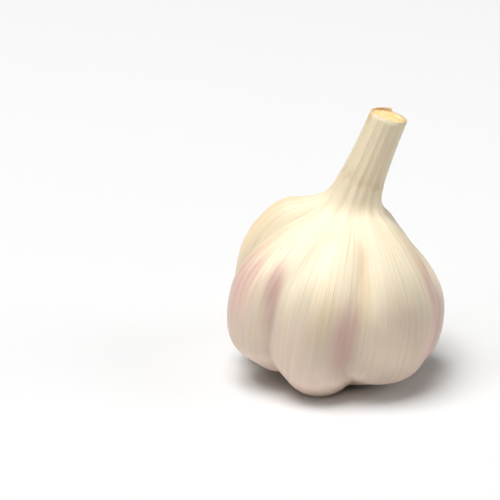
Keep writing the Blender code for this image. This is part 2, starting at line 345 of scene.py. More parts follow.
    def tongue(self, azimuth: Array, height: Array) -> Array:
        """How far the torn skin behind the cut stands above the rest of the rim.

        Args:
            azimuth: Angles round the axis, in degrees.
            height: Heights along the axis.

        Returns:
            Millimetres to add to each height.
        """
        past_tip = turn_between(azimuth, self.tongue_tip)
        share = smooth_step(past_tip, -self.tongue_tear, 0.0)
        share = share * np.clip(1 - past_tip / self.tongue_taper, 0.0, 1.0)
        top = smooth_step(height, self.rim_height - self.tongue_reach_down, self.rim_height)
        return self.tongue_height * share * top

    def lean_at(self, height: Array) -> Array:
        """How much further than the body the axis leans at a height, in radians."""
        return np.radians((self.neck_lean - self.body_lean) * smooth_step(height, *self.bend))

    def leaning(self, points: Array) -> Array:
        """Slant the cut, bend the neck and lean the bulb over.

        Args:
            points: Upright points, with x, y and z last.

        Returns:
            The leaning points, before they are stood in place.
        """
        x, y, z = np.moveaxis(points, -1, 0)
        side = math.radians(self.cut_high_side)
        rise = (x * math.cos(side) + y * math.sin(side)) * math.tan(math.radians(self.cut_slant))
        z = z + rise * smooth_step(z, self.cut_slant_start, self.rim_height)
        heights = np.linspace(*self.axis_heights, self.axis_samples)
        extra = self.lean_at(heights)[:-1]
        steps = np.diff(heights)
        sideways = np.concatenate([[0.0], np.cumsum(np.sin(extra) * steps)])
        upwards = heights[0] + np.concatenate([[0.0], np.cumsum(np.cos(extra) * steps)])
        turn = self.lean_at(z)
        bent_x = np.interp(z, heights, sideways) + x * np.cos(turn)
        bent_z = np.interp(z, heights, upwards) - x * np.sin(turn)
        lean = math.radians(self.body_lean)
        leaned_x = bent_x * math.cos(lean) + bent_z * math.sin(lean)
        leaned_z = bent_z * math.cos(lean) - bent_x * math.sin(lean)
        return np.stack([leaned_x, y, leaned_z], axis=-1)

    def stand_place(self) -> Array:
        """Where the leaning axis stands, from the box of the part's own bulb in the frame.

        Returns:
            The axis foot's x, y and z in millimetres, so low that the cloves' feet press flat.
        """
        low, high = (np.array(corner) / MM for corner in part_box("bulb"))
        steps = np.arange(0.0, self.last_station + 0.01, 1.0 / self.solid_steps_per_span)
        grid = np.meshgrid(turns_round(self.solid_turn_steps), steps)
        points = self.leaning(self.straight(*grid)).reshape(-1, 3)
        middle = (points.min(axis=0) + points.max(axis=0)) / 2
        place = (low + high) / 2 - middle
        place[2] = -self.pressed_flat - points[:, 2].min()
        return place

    def stood(self, points: Array) -> Array:
        """Stand the bulb in its place.

        Args:
            points: Upright points in millimetres, with x, y and z last.

        Returns:
            The points on the standing bulb, none of them under the floor.
        """
        standing = self.leaning(points) + self.stand_place()
        standing[..., 2] = np.maximum(standing[..., 2], 0.0)
        return standing

    def on_axis(self, height: float) -> Array:
        """The standing bulb's point on its axis at a height."""
        return self.stood(np.array([[0.0, 0.0, height]]))


# Meshes


def new_object(name: str, data: bpy.types.ID) -> bpy.types.Object:
    """Put a mesh, light or camera into the scene, at the origin.

    Args:
        name: The object's name.
        data: What it shows.

    Returns:
        The object.
    """
    obj = bpy.data.objects.new(name, data)
    bpy.context.scene.collection.objects.link(obj)
    return obj


def ring_mesh(name: str, rings: Array, first: Array, last: Array) -> Mesh:
    """A closed shell through rings of points, with a pole at each end.

    Args:
        name: The mesh's name.
        rings: Points in millimetres, one row for each ring, going round against the clock.
        first: The pole before the first ring.
        last: The pole after the last ring.

    Returns:
        The mesh in metres, its points in ring order with the poles last, shaded smooth.
    """
    count, around = rings.shape[:2]
    points = np.vstack([rings.reshape(-1, 3), first, last]) * MM
    here = np.arange(count * around).reshape(count, around)
    right = np.roll(here, -1, axis=1)
    quads = np.stack([here[:-1], right[:-1], right[1:], here[1:]], axis=-1).reshape(-1, 4)
    low = [(count * around, int(b), int(a)) for a, b in zip(here[0], right[0])]
    high = [(int(a), int(b), count * around + 1) for a, b in zip(here[-1], right[-1])]
    mesh = bpy.data.meshes.new(name)
    mesh.from_pydata(points.tolist(), [], quads.tolist() + low + high)
    mesh.shade_smooth()
    return mesh


def add_number(mesh: Mesh, name: str, rings: Array, poles: Span = (0.0, 0.0)) -> None:
    """Store a number at each point of a ring mesh: first the rings', then the two poles'."""
    attribute = mesh.attributes.new(name, "FLOAT", "POINT")
    attribute.data.foreach_set("value", np.append(rings, poles).astype(np.float32))


def add_vector(mesh: Mesh, name: str, rings: Array, poles: tuple[Triple, Triple]) -> None:
    """Store a vector at each point of a ring mesh: first the rings', then the two poles'."""
    attribute = mesh.attributes.new(name, "FLOAT_VECTOR", "POINT")
    attribute.data.foreach_set("vector", np.append(rings, poles).astype(np.float32))


def keep_above_floor(mesh: Mesh) -> None:
    """Lift every point that lies under the floor up to it.

    Args:
        mesh: The mesh, changed in place.
    """
    flat = np.empty(len(mesh.vertices) * 3, np.float32)
    mesh.vertices.foreach_get("co", flat)
    points = flat.reshape(-1, 3)
    points[:, 2] = np.maximum(points[:, 2], 0.0)
    mesh.vertices.foreach_set("co", points.ravel())
    mesh.update()


# Node trees


@dataclass(frozen=True)
class LinePattern:
    """Lines round the bulb: their count, how far they wander in line distances, and how fast."""

    count: int
    wander: float
    cells: float
    along: float
    seed: float


class NodeWeb:
    """Adds nodes to a tree and joins them. A value may be a number, a tuple or another socket."""

    def __init__(self, tree: bpy.types.NodeTree) -> None:
        """Work on this tree."""
        self.tree = tree

    def feed(self, socket: Socket, value: Value) -> None:
        """Link a socket to what feeds it, or set its own value.

        Args:
            socket: The input.
            value: Another socket, or a plain value.
        """
        if isinstance(value, Socket):
            self.tree.links.new(value, socket)
        else:
            socket.default_value = value

    def add(self, kind: str, inputs: Optional[Inputs] = None, **settings: object) -> bpy.types.Node:
        """A new node.

        Args:
            kind: Blender's type name of the node.
            inputs: Values for its inputs, by name or number.
            **settings: Values for its own properties, set before its inputs.

        Returns:
            The node.
        """
        node = self.tree.nodes.new(kind)
        for name, value in settings.items():
            setattr(node, name, value)
        for key, value in (inputs or {}).items():
            self.feed(node.inputs[key], value)
        return node

    def made(self, kind: str, inputs: Optional[Inputs] = None, **settings: object) -> Socket:
        """The first output of a new node, which add makes from the same arguments."""
        return self.add(kind, inputs, **settings).outputs[0]

    def math(self, operation: str, a: Value, b: Value = 0.0) -> Socket:
        """The result of a Math node."""
        return self.made("ShaderNodeMath", {0: a, 1: b}, operation=operation)

    def plus(self, a: Value, b: Value) -> Socket:
        """The sum of two numbers."""
        return self.math("ADD", a, b)

    def times(self, *factors: Value) -> Socket:
        """Multiply numbers, from the first on.

        Args:
            *factors: The numbers, two or more.

        Returns:
            Their product.
        """
        product = factors[0]
        for factor in factors[1:]:
            product = self.math("MULTIPLY", product, factor)
        return product

    def vector(self, operation: str, a: Value, b: Value) -> Socket:
        """The vector that a Vector Math node gives."""
        return self.made("ShaderNodeVectorMath", {0: a, 1: b}, operation=operation)

    def scaled(self, vector: Value, factor: Value) -> Socket:
        """The vector times a number."""
        return self.made("ShaderNodeVectorMath", {0: vector, 3: factor}, operation="SCALE")

    def xyz(self, *parts: Value) -> Socket:
        """The vector with these parts, in the order x, y, z. Parts left out are 0."""
        return self.made("ShaderNodeCombineXYZ", dict(enumerate(parts)))

    def split(self, vector: Value) -> tuple[Socket, ...]:
        """The vector's parts x, y and z."""
        return tuple(self.add("ShaderNodeSeparateXYZ", {0: vector}).outputs)

    def step(self, value: Value, start: Value, end: Value) -> Socket:
        """0 at start, 1 at end, smooth between."""
        inputs = {0: value, 1: start, 2: end}
        return self.made("ShaderNodeMapRange", inputs, interpolation_type="SMOOTHSTEP")

    def between(self, value: Value, low: Value, high: Value) -> Socket:
        """A factor from 0 to 1 turned into a value from low to high."""
        return self.made("ShaderNodeMapRange", {0: value, 3: low, 4: high})

    def noise(
        self, place: Value, cells: Union[float, Triple], detail: float = 2.0, seed: Value = 0.0
    ) -> Socket:
        """Noise at a place, about 0.5 on average.

        Args:
            place: The vector that it is read at.
            cells: How many noise cells lie in a unit, for all axes or for each.
            detail: How many finer layers it has.
            seed: Shifts the pattern.

        Returns:
            The noise's value.
        """
        if isinstance(cells, tuple):
            place, cells = self.vector("MULTIPLY", place, cells), 1.0
        inputs = {"Vector": place, "W": seed, "Scale": cells, "Detail": detail}
        return self.made("ShaderNodeTexNoise", inputs, noise_dimensions="4D")

    def lines_round(self, fibre: Value, pattern: LinePattern, width: float) -> Socket:
        """Thin lines that run along the skin.

        Args:
            fibre: The piece's fibre attribute: cosine, sine and centimetres along the skin.
            pattern: How many lines there are and how they wander.
            width: Half a line's width, as a share of the lines' distance.

        Returns:
            1 on a line, falling to 0 at the width on both sides.
        """
        cosine, sine, _ = self.split(fibre)
        cells = (pattern.cells, pattern.cells, pattern.along)
        wander = self.noise(fibre, cells, detail=1.0, seed=pattern.seed)
        even = self.times(self.math("ARCTAN2", sine, cosine), pattern.count / (2 * math.pi))
        phase = self.plus(even, self.times(wander, pattern.wander))
        return self.step(self.math("PINGPONG", phase, 0.5), width, 0.0)


class GeometryWeb(NodeWeb):
    """A Geometry Nodes tree with named inputs for its sizes."""

    def __init__(self, name: str, sizes: dict[str, Size]) -> None:
        """Start a tree with a geometry input and output, and an input for each size.

        Args:
            name: The tree's name.
            sizes: Names and values of its other inputs.
        """
        super().__init__(bpy.data.node_groups.new(name, "GeometryNodeTree"))
        self.sizes = sizes
        kinds = {float: "NodeSocketFloat", int: "NodeSocketInt", tuple: "NodeSocketVector"}
        new_socket = self.tree.interface.new_socket
        new_socket("Geometry", in_out="OUTPUT", socket_type="NodeSocketGeometry")
        new_socket("Geometry", in_out="INPUT", socket_type="NodeSocketGeometry")
        for label, value in sizes.items():
            item = new_socket(label, in_out="INPUT", socket_type=kinds[type(value)])
            item.default_value = value
        self.entry = self.add("NodeGroupInput")
        self.exit = self.add("NodeGroupOutput")

    def size(self, name: str) -> Socket:
        """The named input, to read its value from."""
        return self.entry.outputs[name]

    def attribute(self, name: str, kind: str = "FLOAT") -> Socket:
        """The geometry's own attribute of that name."""
        return self.made("GeometryNodeInputNamedAttribute", {"Name": name}, data_type=kind)

    def random(self, low: Value, high: Value, key: Socket, seed: Value) -> Socket:
        """A random number between low and high for each key."""
        inputs = {2: low, 3: high, "ID": key, "Seed": seed}
        return self.add("FunctionNodeRandomValue", inputs, data_type="FLOAT").outputs[1]

    def stored(self, geometry: Socket, name: str, value: Value, kind: str = "FLOAT") -> Socket:
        """The geometry with the value stored at its points, as an attribute of that name."""
        inputs = {"Geometry": geometry, "Name": name, "Value": value}
        return self.made("GeometryNodeStoreNamedAttribute", inputs, data_type=kind, domain="POINT")

    def finish(self, geometry: Socket, material: Material) -> None:
        """End the tree with real geometry, smooth and in its material.

        Args:
            geometry: What the tree made.
            material: The finish that it gets.
        """
        real = self.made("GeometryNodeRealizeInstances", {"Geometry": geometry})
        smooth = self.made("GeometryNodeSetShadeSmooth", {"Geometry": real})
        dressed = self.made("GeometryNodeSetMaterial", {"Geometry": smooth, "Material": material})
        self.feed(self.exit.inputs[0], dressed)

    def grow_on(self, obj: bpy.types.Object) -> None:
        """Run the tree on an object and keep the result as its plain mesh.

        Args:
            obj: The object that the tree reads and replaces.
        """
        modifier = obj.modifiers.new(self.tree.name, "NODES")
        modifier.node_group = self.tree
        for item in self.tree.interface.items_tree:
            if item.name in self.sizes:
                modifier[item.identifier] = self.sizes[item.name]
        graph = bpy.context.evaluated_depsgraph_get()
        grown = bpy.data.meshes.new_from_object(obj.evaluated_get(graph))
        obj.modifiers.remove(modifier)
        obj.data = grown


class FinishWeb(NodeWeb):
    """A material's tree, with helpers for colour and fine relief."""

    def __init__(self, name: str) -> None:
        """Start a material with a Principled shader.

        Args:
            name: The material's name.
        """
        self.material = bpy.data.materials.new(name)
        self.material.use_nodes = True
        super().__init__(self.material.node_tree)
        self.shader = self.tree.nodes["Principled BSDF"]

    def constants(self, values: dict[str, Union[float, Triple]]) -> None:
        """Set numbers on the shader's own sockets."""
        for name, value in values.items():
            self.shader.inputs[name].default_value = value

    def attribute(self, name: str, output: int = 2) -> Socket:
        """The piece's own attribute: output 2 is a number, 1 a vector."""
        return self.add("ShaderNodeAttribute", attribute_name=name).outputs[output]

    def blend(self, share: Value, a: Value, b: Value, kind: str = "MIX") -> Socket:
        """Mix two colours.

        Args:
            share: How much of the second there is, from 0 to 1.
            a: The first colour.
            b: The second colour.
            kind: Blender's name for the way they mix, such as MULTIPLY.

        Returns:
            The mixed colour.
        """
        inputs = {0: share}
        for socket, colour in ((6, a), (7, b)):
            inputs[socket] = (*colour, 1.0) if isinstance(colour, tuple) else colour
        return self.add("ShaderNodeMix", inputs, data_type="RGBA", blend_type=kind).outputs[2]

    def shaded(self, colour: Value, factor: Value) -> Socket:
        """The colour made lighter or darker by a factor."""
        grey = self.made("ShaderNodeCombineColor", {0: factor, 1: factor, 2: factor})
        return self.blend(1.0, colour, grey, "MULTIPLY")

    def colour(self, value: Value) -> None:
        """Give the shader its base colour."""
        self.feed(self.shader.inputs["Base Color"], value)

    def rough_relief(self, height: Value, depth: float) -> None:
        """Fine relief of the given depth in metres, on the shader's normal."""
        bump = self.made("ShaderNodeBump", {"Strength": 1.0, "Distance": depth, "Height": height})
        self.feed(self.shader.inputs["Normal"], bump)


# Finishes


@dataclass(frozen=True)
class PaperySkin:
    """Dry outer skin: satin cream paper, tan veins, mauve blushes and a browner neck, with painted shade
    and light.

    Cells are noise cells to a unit of the fibre attribute. Stations say where one colour turns
    into the next, and shades and shares how dark or strong it gets, each from least to most.
    """

    veins: LinePattern = LinePattern(84, 3.2, 3.5, 0.10, 3.0)
    threads: LinePattern = LinePattern(230, 5.0, 5.0, 0.12, 13.0)
    vein_width: float = 0.13
    thread_width: float = 0.3
    cream: Triple = (0.89, 0.79, 0.585)
    # painted shade: the lower belly is darker, standing in for the light falling off below the top, and a
    # little pinker
    low_cream_painted_shade: Triple = (0.69, 0.57, 0.455)
    # painted light: paler and pinker at the feet, standing in for light thrown up from the floor
    foot_cream_painted_bounce: Triple = (0.81, 0.65, 0.55)
    neck_cream: Triple = (0.78, 0.675, 0.48)
    warm_tan: Triple = (0.80, 0.60, 0.37)
    vein_tan: Triple = (0.72, 0.50, 0.27)
    thread_tan: Triple = (0.66, 0.52, 0.38)
    inner_orange: Triple = (0.74, 0.47, 0.21)
    blush_mauve: Triple = (0.62, 0.34, 0.33)
    # the torn edge's own dried brown, and painted shade on the inner layer just above the outer skin's
    # edge
    torn_brown_and_shade: Triple = (0.50, 0.36, 0.23)
    hollow_brown: Triple = (0.46, 0.32, 0.20)
    root_tan: Triple = (0.76, 0.52, 0.28)
    broad_cells: Triple = (6.0, 6.0, 0.5)
    streak_cells: Triple = (28.0, 28.0, 0.35)
    fine_cells: Triple = (75.0, 75.0, 0.7)
    straw_cells: Triple = (15.0, 15.0, 0.1)
    low_shade_stations: Span = (7.2, 9.0)
    foot_bounce_stations: Span = (7.2, 5.6)
    neck_stations: Span = (11.2, 13.2)
    straw_stations: Span = (12.0, 13.3)
    root_stations: Span = (4.7, 3.2)
    hollow_stations: Span = (3.6, 2.2)
    streak_shades: Span = (0.88, 1.10)
    fine_shades: Span = (0.92, 1.06)
    straw_shades: Span = (0.90, 1.05)
    thread_shares: Span = (0.0, 0.3)
    vein_shares: Span = (0.12, 0.65)
    blush_shares: Span = (0.45, 1.0)
    root_shares: Span = (0.1, 0.9)
    streak_contrast: Span = (0.3, 0.7)
    broad_contrast: Span = (0.38, 0.62)
    # how dark the painted shade gets at full strength
    valley_shade: float = 0.76
    hollow_share: float = 0.7
    roughness: Span = (0.38, 0.5)
    relief_depth: float = 0.00008

    def material(self) -> Material:
        """The skin's material, read from the piece's own attributes.

        Returns:
            The material, with its relief.
        """
        web = FinishWeb("papery_skin")
        fibre = web.attribute("fibre", 1)
        broad = web.noise(fibre, self.broad_cells, detail=3.0, seed=1.0)
        streak = web.noise(fibre, self.streak_cells, seed=5.0)
        fine = web.noise(fibre, self.fine_cells, seed=9.0)
        colour = self.paper(web, fibre, streak, fine)
        colour = self.lined(web, colour, fibre, streak, broad)
        web.colour(self.marked(web, colour, streak))
        web.feed(web.shader.inputs["Roughness"], web.between(broad, *self.roughness))
        web.constants(
            {
                "Subsurface Weight": 0.12,
                "Subsurface Radius": (0.0022, 0.0012, 0.0007),
                "Subsurface Scale": 1.0,
                "Specular IOR Level": 0.42,
            }
        )
        web.rough_relief(web.plus(fine, streak), self.relief_depth)
        return web.material

    def paper(self, web: FinishWeb, fibre: Socket, streak: Socket, fine: Socket) -> Socket:
        """The paper's colour from the feet to the neck, streaked along its fibres, with painted shade on
        the lower belly and painted light at the feet.

        Args:
            web: The material's tree.
            fibre: The place on the skin.
            streak: Noise in streaks.
            fine: Noise in finer streaks.

        Returns:
            The colour.
        """
        station = web.attribute("station")
        # painted shade: darker on the lower belly than the cream above
        colour = web.blend(web.step(station, *self.low_shade_stations), self.low_cream_painted_shade, self.cream)
        # painted light: paler towards the feet
        colour = web.blend(web.step(station, *self.foot_bounce_stations), colour, self.foot_cream_painted_bounce)
        colour = web.blend(web.step(station, *self.neck_stations), colour, self.neck_cream)
        colour = web.shaded(colour, web.between(streak, *self.streak_shades))
        colour = web.shaded(colour, web.between(fine, *self.fine_shades))
        straw = web.step(web.noise(fibre, self.straw_cells, seed=7.0), *self.streak_contrast)
        straw = web.shaded(colour, web.between(straw, *self.straw_shades))
        return web.blend(web.step(station, *self.straw_stations), colour, straw)

    def lined(
        self, web: FinishWeb, colour: Socket, fibre: Socket, streak: Socket, broad: Socket
    ) -> Socket:
        """The colour with threads and veins drawn on it.

        Args:
            web: The material's tree.
            colour: The paper's colour.
            fibre: The place on the skin.
            streak: Noise in streaks, which fades the threads.
            broad: Noise in broad bands, which fades the veins.

        Returns:
            The colour.
        """
        thread = web.lines_round(fibre, self.threads, self.thread_width)
        thread = web.times(thread, web.between(streak, *self.thread_shares))
        colour = web.blend(thread, colour, self.thread_tan)
        vein = web.lines_round(fibre, self.veins, self.vein_width)
        strong = web.between(web.step(broad, *self.broad_contrast), *self.vein_shares)
        return web.blend(web.times(vein, strong), colour, self.vein_tan)

    def marked(self, web: FinishWeb, colour: Socket, streak: Socket) -> Socket:
        """The colour with its blushes, patches, painted shade and light, torn edge, scorched rim and
        brown underside.

        Args:
            web: The material's tree.
            colour: The lined paper's colour.
            streak: Noise in streaks, which breaks the marks up.

        Returns:
            The colour.
        """
        station = web.attribute("station")
        broken = web.between(web.step(streak, *self.streak_contrast), *self.blush_shares)
        colour = web.blend(web.times(web.attribute("blush"), broken), colour, self.blush_mauve)
        colour = web.blend(web.attribute("warm"), colour, self.warm_tan)
        # painted shade in the valleys and patches, and painted light where it is negative
        painted_shading = web.times(web.attribute("painted_shading"), 1.0 - self.valley_shade)
        colour = web.shaded(colour, web.math("SUBTRACT", 1.0, painted_shading))
        # brown band above the tear: the dried edge's own brown, partly painted shade
        colour = web.blend(web.attribute("torn"), colour, self.torn_brown_and_shade)
        colour = web.blend(web.attribute("scorch"), colour, self.inner_orange)
        roots = web.times(web.step(station, *self.root_stations), web.between(streak, *self.root_shares))
        colour = web.blend(roots, colour, self.root_tan)
        hollow = web.times(web.step(station, *self.hollow_stations), self.hollow_share)
        return web.blend(hollow, colour, self.hollow_brown)


@dataclass(frozen=True)
class StalkFlesh:
    """Cut end of the dried stalk: pale yellow and orange fibre with a browner rim, and painted shade in
    brown on one side.
    """

    pale: Triple = (0.90, 0.71, 0.37)
    orange: Triple = (0.82, 0.56, 0.25)
    brown: Triple = (0.42, 0.22, 0.08)
    patch_cells: Triple = (0.5, 0.5, 0.5)
    fibre_cells: Triple = (3.0, 3.0, 0.3)
    patch_contrast: Span = (0.42, 0.66)
    fibre_contrast: Span = (0.5, 0.75)
    fibre_share: float = 0.4
    relief_depth: float = 0.0001

    def material(self) -> Material:
        """The flesh's material, read from the piece's own attributes.

        Returns:
            The material, with its relief.
        """
        web = FinishWeb("stalk_flesh")
        place = web.attribute("flesh", 1)
        patches = web.noise(place, self.patch_cells, detail=3.0, seed=2.0)
        fibres = web.noise(place, self.fibre_cells, seed=4.0)
        colour = web.blend(web.step(patches, *self.patch_contrast), self.pale, self.orange)
        share = web.times(web.step(fibres, *self.fibre_contrast), self.fibre_share)
        colour = web.blend(share, colour, self.orange)
        # the rim's own brown, and painted shade on the shaded side
        web.colour(web.blend(web.attribute("scorch"), colour, self.brown))
        web.constants(
            {
                "Roughness": 0.6,
                "Subsurface Weight": 0.15,
                "Subsurface Radius": (0.0015, 0.0009, 0.0004),
                "Subsurface Scale": 1.0,
                "Specular IOR Level": 0.35,
            }
        )
        web.rough_relief(fibres, self.relief_depth)
        return web.material


@dataclass(frozen=True)
class DryRoot:
    """Dry wiry roots and the corky plate that they grow from, golden brown to dark."""

    gold: Triple = (0.60, 0.29, 0.09)
    dark: Triple = (0.26, 0.105, 0.035)
    straw: Triple = (0.80, 0.48, 0.21)
    grain_cells: float = 900.0
    grain_contrast: Span = (0.35, 0.7)
    straw_share: float = 0.6
    relief_depth: float = 0.00015

    def material(self) -> Material:
        """The roots' material, on Object coordinates and the root's own tone.

        Returns:
            The material, with its relief.
        """
        web = FinishWeb("dry_root")
        place = web.add("ShaderNodeTexCoord").outputs["Object"]
        grain = web.noise(place, self.grain_cells, detail=3.0, seed=1.0)
        colour = web.blend(web.step(grain, *self.grain_contrast), self.dark, self.gold)
        web.colour(web.blend(web.times(web.attribute("tone"), self.straw_share), colour, self.straw))
        web.constants({"Roughness": 0.72, "Specular IOR Level": 0.3})
        web.rough_relief(grain, self.relief_depth)
        return web.material


# Pieces


@dataclass(frozen=True)
class Patch:
    """A patch of another colour in the skin: its middle, its reach both ways and its strength."""

    azimuth: float
    station: float
    width: float
    length: float
    strength: float


@dataclass
class Piece:
    """A finished mesh object of the bulb, labelled with a material slot."""

    name: str
    slot: Slot
    stands_for: str = ""
    form: BulbForm = BulbForm()
    obj: Optional[bpy.types.Object] = field(default=None, repr=False)

    def shell(self, rings: Array, low: float, high: float) -> Mesh:
        """A closed mesh through upright rings, with a pole on the axis at each end.

        Args:
            rings: Upright points in millimetres, one row for each ring.
            low: Height of the pole before the first ring.
            high: Height of the pole after the last ring.

        Returns:
            The mesh in its place on the standing bulb, in metres.
        """
        form = self.form
        return ring_mesh(self.name, form.stood(rings), form.on_axis(low), form.on_axis(high))

    def attach(self) -> None:
        """Tie the object to the bulb's body and hide the CAD node that it stands for.

        The piece's line in the log says how fine it is.
        """
        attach(self.obj, BODY)
        if self.stands_for:
            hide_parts(self.stands_for)
        log.info("%s: %d faces", self.name, len(self.obj.data.polygons))

    def dress(self, mesh: Mesh, material: Material) -> None:
        """Make the object of a mesh in its material.

        Args:
            mesh: The piece's mesh.
            material: Its finish.
        """
        mesh.materials.append(material)
        self.obj = new_object(self.name, mesh)
        self.attach()


@dataclass
class BulbSkin(Piece):
    """The papery skin over the cloves, from the root hollow up and over the neck's cut rim.

    Ring runs give first station, last station and count of rings, and the rim radius and rise of
    the rings that turn over it and down inside. Painted shading patches darken the skin as painted
    shade; one of negative strength is painted light, paler.
    """

    name: str = "bulb_skin"
    slot: Slot = Slot.SKIN
    stands_for: str = "bulb"
    around: int = 800
    ring_runs: tuple[tuple[float, float, int], ...] = (
        (0.12, 4.0, 18),
        (4.0, 11.0, 50),
        (11.0, 12.4, 9),
        (12.4, 13.4, 18),
        (13.4, 14.98, 12),
    )
    rim: tuple[Span, ...] = (
        (4.77, -0.03),
        (4.68, 0.0),
        (4.58, -0.04),
        (4.5, -0.2),
        (4.46, -1.5),
        (4.46, -4.0),
    )
    rim_spacing: float = 0.1
    ragged_layers: tuple[Triple, ...] = ((0.12, 4.0, 11.0), (0.05, 16.0, 12.0))
    socket_depth: float = 4.1
    tear_station: float = 12.95
    tear_raggedness: float = 0.16
    tear_layers: tuple[Triple, ...] = ((1.0, 3.0, 31.0), (0.6, 9.0, 32.0), (0.4, 26.0, 33.0))
    tear_start: Span = (-0.05, 0.06)
    tear_end: Span = (0.05, 0.5)
    tear_strength: float = 0.5
    tear_middle: float = 0.6
    tear_patches: Triple = (0.6, 3.0, 21.0)
    far_from_tear: float = 9.0
    blushes: tuple[Patch, ...] = (
        Patch(-162.0, 8.3, 12.0, 2.0, 0.8),
        Patch(-152.0, 7.8, 12.0, 1.7, 0.7),
        Patch(-149.0, 8.5, 5.0, 1.2, 0.75),
        Patch(-135.0, 8.6, 7.0, 1.1, 0.8),
        Patch(-131.0, 8.0, 6.0, 1.3, 0.7),
        Patch(-142.0, 8.0, 4.0, 1.0, 0.5),
        Patch(-88.0, 7.35, 10.0, 1.6, 1.0),
        Patch(-83.0, 8.3, 6.0, 1.0, 0.4),
        Patch(-58.0, 8.3, 20.0, 1.4, 0.25),
        Patch(-25.0, 8.9, 15.0, 1.3, 1.3),
        Patch(-20.0, 8.0, 18.0, 1.5, 1.0),
        Patch(-29.0, 7.0, 20.0, 1.5, 0.7),
        Patch(62.0, 8.4, 12.0, 1.6, 0.5),
        Patch(106.0, 8.2, 11.0, 1.5, 0.5),
        Patch(158.0, 8.6, 10.0, 1.6, 0.4),
    )
    warm_patches: tuple[Patch, ...] = (
        Patch(172.0, 9.4, 26.0, 3.2, 0.65),
        Patch(-160.0, 9.9, 9.0, 2.2, 0.5),
        Patch(-100.0, 8.0, 12.0, 1.4, 0.4),
        Patch(-79.0, 9.4, 7.0, 2.2, 0.7),
        Patch(-29.0, 9.9, 10.0, 1.5, 0.6),
        Patch(30.0, 9.0, 22.0, 2.6, 0.4),
        Patch(92.0, 9.3, 18.0, 2.8, 0.45),
    )
    # painted shade patches darken where shade falls on the cloves; negative ones are painted light, paler
    # where light falls
    painted_shading_patches: tuple[Patch, ...] = (
        Patch(-52.0, 8.5, 34.0, 1.7, 1.0),
        Patch(-98.0, 7.6, 14.0, 1.5, 0.6),
        Patch(-133.0, 8.2, 9.0, 1.3, 1.0),
        Patch(-113.0, 8.3, 9.0, 1.2, 0.6),
        Patch(-60.0, 6.1, 24.0, 0.9, 0.9),
        Patch(-66.0, 7.2, 26.0, 0.9, -0.6),
        Patch(-34.0, 7.2, 16.0, 0.9, -0.45),
        Patch(-133.0, 7.0, 10.0, 0.9, -0.4),
        Patch(-28.0, 11.8, 36.0, 1.3, -0.8),
        Patch(-73.0, 13.1, 24.0, 0.6, -0.35),
    )
    scorches: tuple[Patch, ...] = (
        Patch(-168.0, 14.9, 22.0, 0.5, 0.85),
        Patch(12.0, 14.9, 16.0, 0.35, 0.5),
        Patch(120.0, 14.8, 60.0, 0.5, 0.6),
    )
    strongest_patch: float = 0.9
    painted_shading_zone: Span = (7.6, 3.4)
    painted_shading_narrowness: float = 1.5
    inside_scorch: float = 0.85
    widest: float = 30.0
    belly_stations: Span = (2.5, 5.0)
    neck_stations: Span = (11.2, 13.2)
    tear_rise: Span = (-1.4, 0.0)
    tear_drop: Span = (0.07, 0.0)
    wrinkle_cells: Triple = (5.5, 5.5, 0.22)
    fibre_cells: Triple = (13.0, 13.0, 0.1)
    vein_height: float = 0.022
    vein_reach: float = 0.4
    wrinkle_height: float = 0.055
    wrinkle_gain: float = 2.0
    fibre_height: float = 0.012
    fibre_gain: float = 4.0
    tear_height: float = 0.09
    relief_seed: float = 4.0

    def stations(self) -> Array:
        """Stations of the rings outside, from the root hollow to the cut rim."""
        runs = [np.linspace(a, b, n, endpoint=False) for a, b, n in self.ring_runs]
        return np.append(np.concatenate(runs), self.form.last_station)

    def upright_rings(self, turns: Array, stations: Array) -> Array:
        """Rings up the outside, over the ragged rim and down inside the neck.

        Args:
            turns: Azimuths of the points in each ring.
            stations: Stations of the rings outside.

        Returns:
            Upright points in millimetres, one row for each ring.
        """
        form = self.form
        outside = form.straight(*np.meshgrid(turns, stations))
        ragged = rough_noise(turns, *self.ragged_layers)
        outside[-1, :, 2] += ragged
        inside = []
        for radius, rise in self.rim:
            height = form.rim_height + rise + ragged
            inside.append(form.upright(turns, radius, height + form.tongue(turns, height)))
        return np.concatenate([outside, inside])

    def store_fibres(self, mesh: Mesh, rings: Array, turns: Array, stations: Array) -> None:
        """Store where each point lies round and along the skin, and how wide the skin is there.

        Args:
            mesh: The skin's mesh.
            rings: Its upright points.
            turns: Azimuths of the points in each ring.
            stations: Stations of the rings outside.
        """
        outside = rings[: len(stations)]
        sizes = outside.mean(axis=1) + outside.std(axis=1)
        steps = np.linalg.norm(np.diff(sizes, axis=0), axis=1)
        along = np.concatenate([[0.0], np.cumsum(steps)])
        over_rim = along[-1] + self.rim_spacing * np.arange(1, len(self.rim) + 1)
        along = np.concatenate([along, over_rim]) / MM_IN_CM
        angle, length = np.meshgrid(np.radians(turns), along)
        fibre = np.stack([np.cos(angle), np.sin(angle), length], -1)
        add_vector(mesh, "fibre", fibre, (ORIGIN, (0.0, 0.0, along[-1])))
        radii = np.linalg.norm(rings[..., :2], axis=-1)
        add_number(mesh, "girth", radii / self.widest)

    def store_patches(self, mesh: Mesh, azimuth: Array, station: Array) -> None:
        """Store the painted shade and light, and how scorched, mauve and warm the skin is at each point.

        Args:
            mesh: The skin's mesh.
            azimuth: The points' azimuths, one row for each ring.
            station: Their stations.
        """
